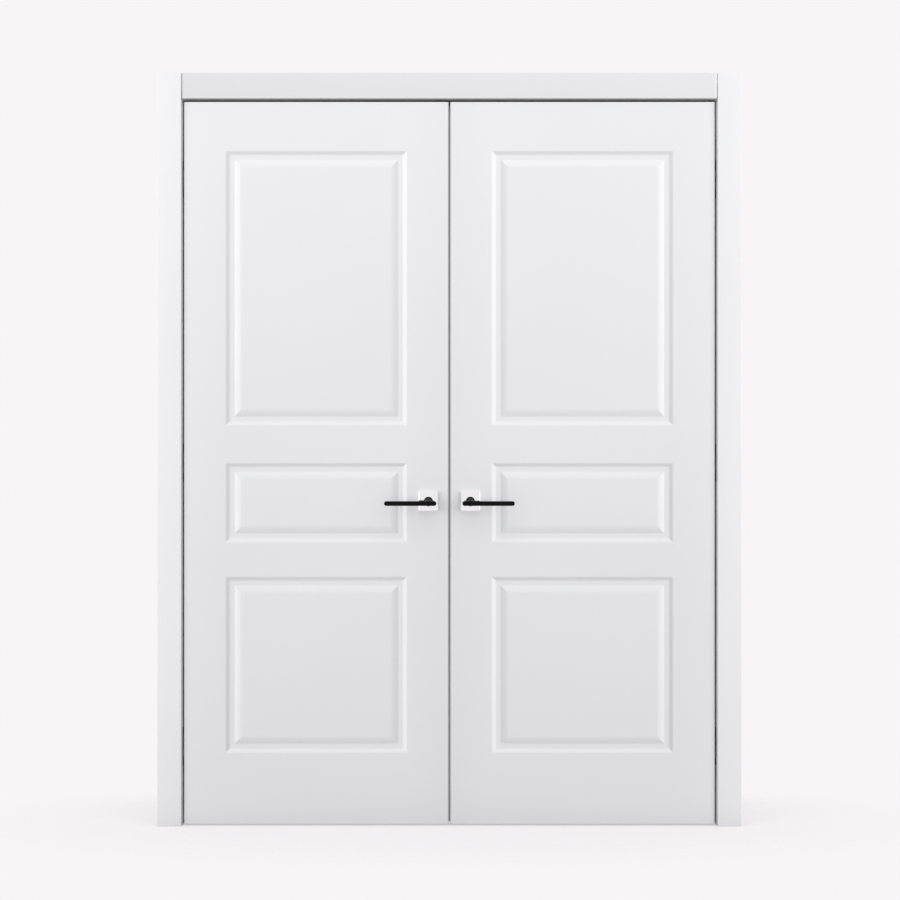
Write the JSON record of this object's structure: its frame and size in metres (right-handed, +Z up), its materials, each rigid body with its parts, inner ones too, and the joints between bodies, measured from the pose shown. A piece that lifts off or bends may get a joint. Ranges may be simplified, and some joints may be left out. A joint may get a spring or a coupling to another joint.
{
  "type": "prehung double door",
  "caption": "White panelled double door hung in a rebated frame with casings on both faces, on concealed hinges, with lever handles, a magnetic latch and flush bolts.",
  "frame": {"origin": "middle of the doorway on the floor, half-way through the whole depth of the door with its levers", "axes": "+X across the doorway to the right seen from the pull side, +Y through the wall away from the pull side, +Z up"},
  "size_m": [1.64, 0.182, 2.115],
  "materials": {
    "white_paint": "satin white enamel on fibreboard",
    "seal_rubber": "matt rubber",
    "hinge_zinc": "satin nickel",
    "screw_steel": "zinc plated",
    "polished_chrome": "polished chrome",
    "black_lever": "satin black",
    "plate_steel": "satin chrome",
    "keep_plastic": "moulded",
    "latch_nylon": "moulded nylon"
  },
  "bodies": {
    "frame": {"left_jamb": "white_paint", "right_jamb": "white_paint", "head_jamb": "white_paint", "front_casing_left": "white_paint", "front_casing_right": "white_paint", "front_casing_head": "white_paint", "back_casing_left": "white_paint", "back_casing_right": "white_paint", "back_casing_head": "white_paint", "left_seal": "seal_rubber", "right_seal": "seal_rubber", "head_seal": "seal_rubber", "left_frame_cups": "hinge_zinc", "right_frame_cups": "hinge_zinc", "frame_hinge_screws": "screw_steel", "bolt_keeper": "plate_steel", "keeper_screws": "screw_steel", "corner_screws": "screw_steel"},
    "left_leaf": {"left_slab": "white_paint", "left_leaf_cups": "hinge_zinc", "left_hinge_screws": "screw_steel", "left_front_rose": "polished_chrome", "left_back_rose": "polished_chrome", "left_rose_bolts": "screw_steel", "left_front_lever": "black_lever", "left_back_lever": "black_lever", "left_spindle": "plate_steel", "keep_plate": "plate_steel", "keep_box": "keep_plastic", "keep_screws": "screw_steel", "top_bolt_case": "plate_steel", "bottom_bolt_case": "plate_steel", "flush_bolt_screws": "screw_steel", "left_meeting_seal": "seal_rubber"},
    "right_leaf": {"right_slab": "white_paint", "right_leaf_cups": "hinge_zinc", "right_hinge_screws": "screw_steel", "right_front_rose": "polished_chrome", "right_back_rose": "polished_chrome", "right_rose_bolts": "screw_steel", "latch_case": "plate_steel", "latch_plate": "plate_steel", "latch_screws": "screw_steel", "right_meeting_seal": "seal_rubber"},
    "left_arms": {"left_hinge_arms": "hinge_zinc"},
    "right_arms": {"right_hinge_arms": "hinge_zinc"},
    "right_lever": {"right_front_lever": "black_lever", "right_back_lever": "black_lever", "right_spindle": "plate_steel", "latch_follower": "plate_steel"},
    "latch": {"latch_bolt": "latch_nylon"},
    "top_bolt": {"top_bolt_rod": "plate_steel", "top_bolt_slide": "plate_steel"},
    "bottom_bolt": {"bottom_bolt_rod": "plate_steel", "bottom_bolt_slide": "plate_steel"}
  },
  "joints": [
    {"name": "left_leaf_swing", "type": "hinge", "parent": "frame", "child": "left_leaf", "pos_m": [-0.749, -0.035, 1.02], "axis": [0, 0, -1], "range_deg": [0, 90]},
    {"name": "right_leaf_swing", "type": "hinge", "parent": "frame", "child": "right_leaf", "pos_m": [0.749, -0.035, 1.02], "axis": [0, 0, 1], "range_deg": [0, 90]},
    {"name": "left_arm_turn", "type": "hinge", "parent": "frame", "child": "left_arms", "pos_m": [-0.749, -0.035, 1.02], "axis": [0, 0, -1], "range_deg": [0, 45]},
    {"name": "right_arm_turn", "type": "hinge", "parent": "frame", "child": "right_arms", "pos_m": [0.749, -0.035, 1.02], "axis": [0, 0, 1], "range_deg": [0, 45]},
    {"name": "lever_press", "type": "hinge", "parent": "right_leaf", "child": "right_lever", "pos_m": [0.059, -0.015, 0.912], "axis": [0, 1, 0], "range_deg": [0, 45], "stiffness_Nm_per_rad": 0.8, "springref_deg": -45.84},
    {"name": "latch_slide", "type": "slide", "parent": "right_leaf", "child": "latch", "axis": [-1, 0, 0], "range_m": [0, 0.01], "stiffness_N_per_m": 100, "springref_m": -0.005},
    {"name": "top_bolt_slide", "type": "slide", "parent": "left_leaf", "child": "top_bolt", "axis": [0, 0, 1], "range_m": [0, 0.014]},
    {"name": "bottom_bolt_slide", "type": "slide", "parent": "left_leaf", "child": "bottom_bolt", "axis": [0, 0, -1], "range_m": [0, 0.014]}
  ],
  "couplings": [
    {"joint": "left_arm_turn", "follows": "left_leaf_swing", "ratio": 0.5},
    {"joint": "right_arm_turn", "follows": "right_leaf_swing", "ratio": 0.5}
  ]
}
